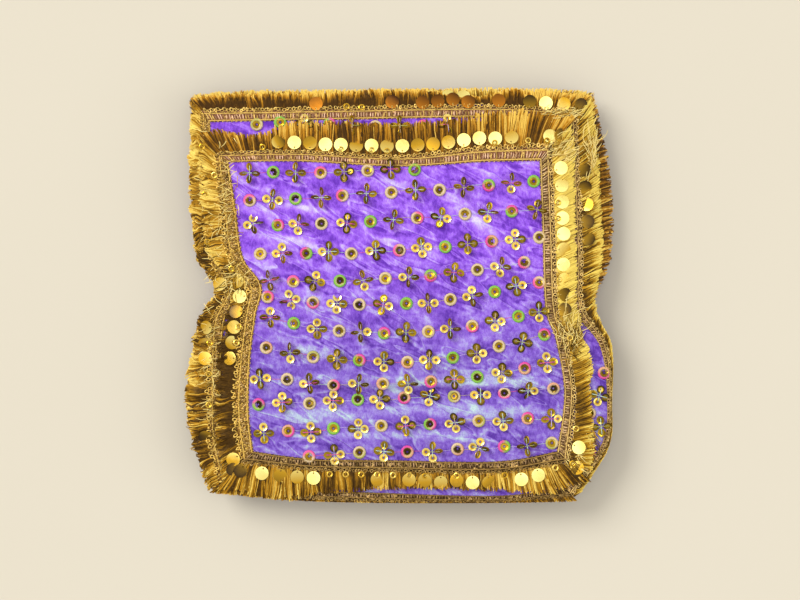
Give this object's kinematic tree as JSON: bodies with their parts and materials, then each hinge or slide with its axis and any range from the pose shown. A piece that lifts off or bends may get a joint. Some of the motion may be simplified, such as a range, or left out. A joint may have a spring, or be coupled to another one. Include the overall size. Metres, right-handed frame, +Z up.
{
  "type": "folded velvet chunri scarf",
  "caption": "Embroidered velvet chunri folded to a flat square packet, its stretches edged with braid, sequins and tinsel fringe, resting flat on its underside.",
  "frame": {"origin": "on the table, under the middle of the packet's outline", "axes": "+X the packet's right, +Y its back edge, +Z up"},
  "size_m": [0.2975, 0.2877, 0.0298],
  "materials": {
    "velvet": "crushed velvet with a soft sheen",
    "braid": "metallic gold thread on a pinkish ground",
    "tinsel": "glossy gold film cut in fine strands",
    "sequin": "polished gold film",
    "thread": "silky embroidery thread"
  },
  "bodies": {
    "root": {"hidden_layers": "velvet", "third_velvet": "velvet", "third_braid_front": "braid", "third_braid_right": "braid", "third_braid_back": "braid", "third_braid_left": "braid", "third_fringe_front": "tinsel", "third_fringe_right": "tinsel", "third_fringe_back": "tinsel", "third_fringe_left": "tinsel", "second_velvet": "velvet", "second_braid_front": "braid", "second_braid_right": "braid", "second_braid_back": "braid", "second_braid_left": "braid", "second_fringe_front": "tinsel", "second_fringe_right": "tinsel", "second_fringe_back": "tinsel", "second_fringe_left": "tinsel", "top_velvet": "velvet", "top_braid_front": "braid", "top_braid_right": "braid", "top_braid_back": "braid", "top_braid_left": "braid", "top_fringe_front": "tinsel", "top_fringe_right": "tinsel", "top_fringe_back": "tinsel", "top_fringe_left": "tinsel"}
  },
  "joints": []
}
